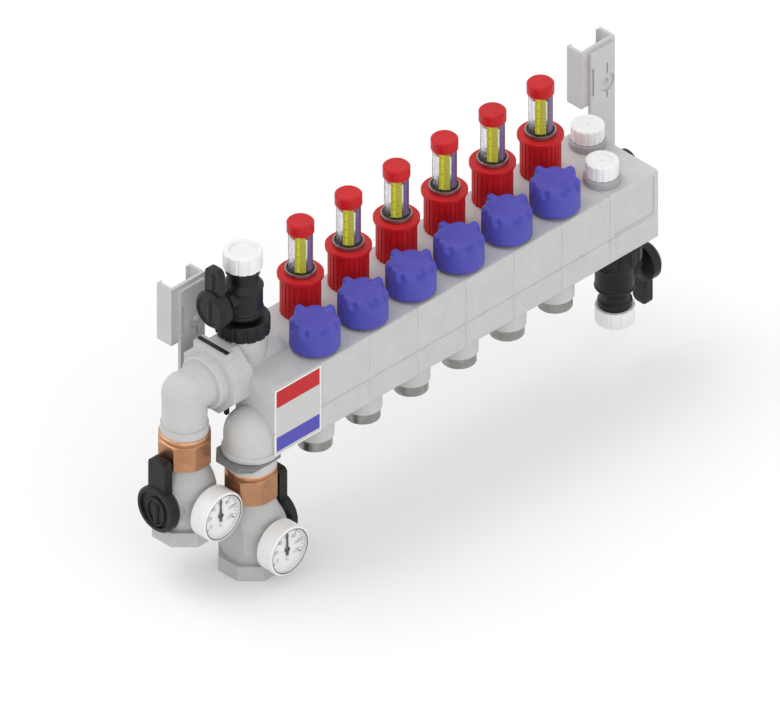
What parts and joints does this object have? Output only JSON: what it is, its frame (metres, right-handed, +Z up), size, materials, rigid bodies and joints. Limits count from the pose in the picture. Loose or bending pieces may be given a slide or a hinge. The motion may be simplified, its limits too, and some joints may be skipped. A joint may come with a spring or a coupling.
{
  "type": "heating manifold",
  "caption": "Modular polymer manifold for underfloor heating: flow meters on the supply row, hand caps on the return row, ball valves, thermometers, fill and drain valves.",
  "frame": {"origin": "centre of the lower rim of the first return outlet", "axes": "+X along the block towards the drain end, +Y towards the wall, +Z up"},
  "size_m": [0.5176, 0.123, 0.2574],
  "materials": {
    "grey_polymer": "moulded, satin",
    "nickel_plating": "turned and plated",
    "red_polymer": "moulded, satin",
    "blue_polymer": "moulded, satin",
    "clear_polymer": "clear",
    "black_polymer": "moulded",
    "dark_grey_polymer": "moulded",
    "white_polymer": "moulded",
    "chromed_brass": "polished",
    "copper_finish": "turned, satin"
  },
  "bodies": {
    "root": {"circuit_module_1": "grey_polymer", "circuit_module_2": "grey_polymer", "circuit_module_3": "grey_polymer", "circuit_module_4": "grey_polymer", "circuit_module_5": "grey_polymer", "circuit_module_6": "grey_polymer", "drain_end_module": "grey_polymer", "inlet_end_module": "grey_polymer", "wall_brackets": "grey_polymer", "supply_elbow": "grey_polymer", "return_adaptor": "grey_polymer", "supply_valve_body": "grey_polymer", "return_valve_body": "grey_polymer", "outlet_nipples": "nickel_plating", "flow_meter_bodies": "nickel_plating", "valve_inserts": "nickel_plating", "sight_tube_caps": "red_polymer", "sight_tubes": "clear_polymer", "thermometer_windows": "clear_polymer", "end_plug": "black_polymer", "fill_valve_body": "black_polymer", "drain_valve_body": "black_polymer", "service_valve_nuts": "black_polymer", "supply_clip": "black_polymer", "vent_bodies": "dark_grey_polymer", "return_clip": "dark_grey_polymer", "thermometer_cases": "white_polymer", "union_nuts": "copper_finish"},
    "float_1": {"flow_float_1": "black_polymer"},
    "float_2": {"flow_float_2": "black_polymer"},
    "float_3": {"flow_float_3": "black_polymer"},
    "float_4": {"flow_float_4": "black_polymer"},
    "float_5": {"flow_float_5": "black_polymer"},
    "float_6": {"flow_float_6": "black_polymer"},
    "collar_1": {"flow_collar_1": "red_polymer"},
    "collar_2": {"flow_collar_2": "red_polymer"},
    "collar_3": {"flow_collar_3": "red_polymer"},
    "collar_4": {"flow_collar_4": "red_polymer"},
    "collar_5": {"flow_collar_5": "red_polymer"},
    "collar_6": {"flow_collar_6": "red_polymer"},
    "cap_1": {"hand_cap_1": "blue_polymer"},
    "cap_2": {"hand_cap_2": "blue_polymer"},
    "cap_3": {"hand_cap_3": "blue_polymer"},
    "cap_4": {"hand_cap_4": "blue_polymer"},
    "cap_5": {"hand_cap_5": "blue_polymer"},
    "cap_6": {"hand_cap_6": "blue_polymer"},
    "vent_1": {"vent_cap_1": "white_polymer"},
    "vent_2": {"vent_cap_2": "white_polymer"},
    "fill_handle": {"fill_valve_handle": "black_polymer", "fill_valve_ball": "chromed_brass"},
    "drain_handle": {"drain_valve_handle": "black_polymer", "drain_valve_ball": "chromed_brass"},
    "fill_cap": {"fill_valve_cap": "white_polymer"},
    "drain_cap": {"drain_valve_cap": "white_polymer"},
    "supply_lever": {"supply_valve_lever": "black_polymer", "supply_valve_ball": "chromed_brass"},
    "return_lever": {"return_valve_lever": "black_polymer", "return_valve_ball": "chromed_brass"},
    "supply_needle": {"supply_pointer": "black_polymer"},
    "return_needle": {"return_pointer": "black_polymer"}
  },
  "joints": [
    {"name": "float_1_rise", "type": "slide", "parent": "root", "child": "float_1", "axis": [0, 0, 1], "range_m": [0, 0.018]},
    {"name": "float_2_rise", "type": "slide", "parent": "root", "child": "float_2", "axis": [0, 0, 1], "range_m": [0, 0.018]},
    {"name": "float_3_rise", "type": "slide", "parent": "root", "child": "float_3", "axis": [0, 0, 1], "range_m": [0, 0.018]},
    {"name": "float_4_rise", "type": "slide", "parent": "root", "child": "float_4", "axis": [0, 0, 1], "range_m": [0, 0.018]},
    {"name": "float_5_rise", "type": "slide", "parent": "root", "child": "float_5", "axis": [0, 0, 1], "range_m": [0, 0.018]},
    {"name": "float_6_rise", "type": "slide", "parent": "root", "child": "float_6", "axis": [0, 0, 1], "range_m": [0, 0.018]},
    {"name": "collar_1_turn", "type": "hinge", "parent": "root", "child": "collar_1", "pos_m": [0.025, 0.04, 0.1], "axis": [0, 0, 1], "range_deg": [0, 900]},
    {"name": "collar_2_turn", "type": "hinge", "parent": "root", "child": "collar_2", "pos_m": [0.075, 0.04, 0.1], "axis": [0, 0, 1], "range_deg": [0, 900]},
    {"name": "collar_3_turn", "type": "hinge", "parent": "root", "child": "collar_3", "pos_m": [0.125, 0.04, 0.1], "axis": [0, 0, 1], "range_deg": [0, 900]},
    {"name": "collar_4_turn", "type": "hinge", "parent": "root", "child": "collar_4", "pos_m": [0.175, 0.04, 0.1], "axis": [0, 0, 1], "range_deg": [0, 900]},
    {"name": "collar_5_turn", "type": "hinge", "parent": "root", "child": "collar_5", "pos_m": [0.225, 0.04, 0.1], "axis": [0, 0, 1], "range_deg": [0, 900]},
    {"name": "collar_6_turn", "type": "hinge", "parent": "root", "child": "collar_6", "pos_m": [0.275, 0.04, 0.1], "axis": [0, 0, 1], "range_deg": [0, 900]},
    {"name": "hand_cap_1_turn", "type": "hinge", "parent": "root", "child": "cap_1", "pos_m": [0, 0, 0.1], "axis": [0, 0, 1], "range_deg": [0, 1080]},
    {"name": "hand_cap_2_turn", "type": "hinge", "parent": "root", "child": "cap_2", "pos_m": [0.05, 0, 0.1], "axis": [0, 0, 1], "range_deg": [0, 1080]},
    {"name": "hand_cap_3_turn", "type": "hinge", "parent": "root", "child": "cap_3", "pos_m": [0.1, 0, 0.1], "axis": [0, 0, 1], "range_deg": [0, 1080]},
    {"name": "hand_cap_4_turn", "type": "hinge", "parent": "root", "child": "cap_4", "pos_m": [0.15, 0, 0.1], "axis": [0, 0, 1], "range_deg": [0, 1080]},
    {"name": "hand_cap_5_turn", "type": "hinge", "parent": "root", "child": "cap_5", "pos_m": [0.2, 0, 0.1], "axis": [0, 0, 1], "range_deg": [0, 1080]},
    {"name": "hand_cap_6_turn", "type": "hinge", "parent": "root", "child": "cap_6", "pos_m": [0.25, 0, 0.1], "axis": [0, 0, 1], "range_deg": [0, 1080]},
    {"name": "vent_cap_1_turn", "type": "hinge", "parent": "root", "child": "vent_1", "pos_m": [0.299, 0, 0.095], "axis": [0, 0, 1], "range_deg": [0, 540]},
    {"name": "vent_cap_2_turn", "type": "hinge", "parent": "root", "child": "vent_2", "pos_m": [0.324, 0.04, 0.095], "axis": [0, 0, 1], "range_deg": [0, 540]},
    {"name": "fill_handle_turn", "type": "hinge", "parent": "root", "child": "fill_handle", "pos_m": [-0.044, 0.031, 0.142], "axis": [1, 0, 0], "range_deg": [0, 90]},
    {"name": "drain_handle_turn", "type": "hinge", "parent": "root", "child": "drain_handle", "pos_m": [0.3125, 0, -0.007], "axis": [-1, 0, 0], "range_deg": [0, 90]},
    {"name": "fill_cap_turn", "type": "hinge", "parent": "root", "child": "fill_cap", "pos_m": [-0.044, 0.031, 0.169], "axis": [0, 0, 1], "range_deg": [0, 720]},
    {"name": "drain_cap_turn", "type": "hinge", "parent": "root", "child": "drain_cap", "pos_m": [0.3125, 0, -0.034], "axis": [0, 0, -1], "range_deg": [0, 720]},
    {"name": "supply_lever_turn", "type": "hinge", "parent": "root", "child": "supply_lever", "pos_m": [-0.1047, 0.031, -0.009], "axis": [-1, 0, 0], "range_deg": [0, 90]},
    {"name": "return_lever_turn", "type": "hinge", "parent": "root", "child": "return_lever", "pos_m": [-0.0645, 0.002, -0.045], "axis": [-1, 0, 0], "range_deg": [0, 90]},
    {"name": "supply_pointer_turn", "type": "hinge", "parent": "root", "child": "supply_needle", "pos_m": [-0.1047, -0.008, -0.0108], "axis": [0, -1, 0], "range_deg": [-135, 135]},
    {"name": "return_pointer_turn", "type": "hinge", "parent": "root", "child": "return_needle", "pos_m": [-0.0645, -0.037, -0.0468], "axis": [0, -1, 0], "range_deg": [-135, 135]}
  ]
}
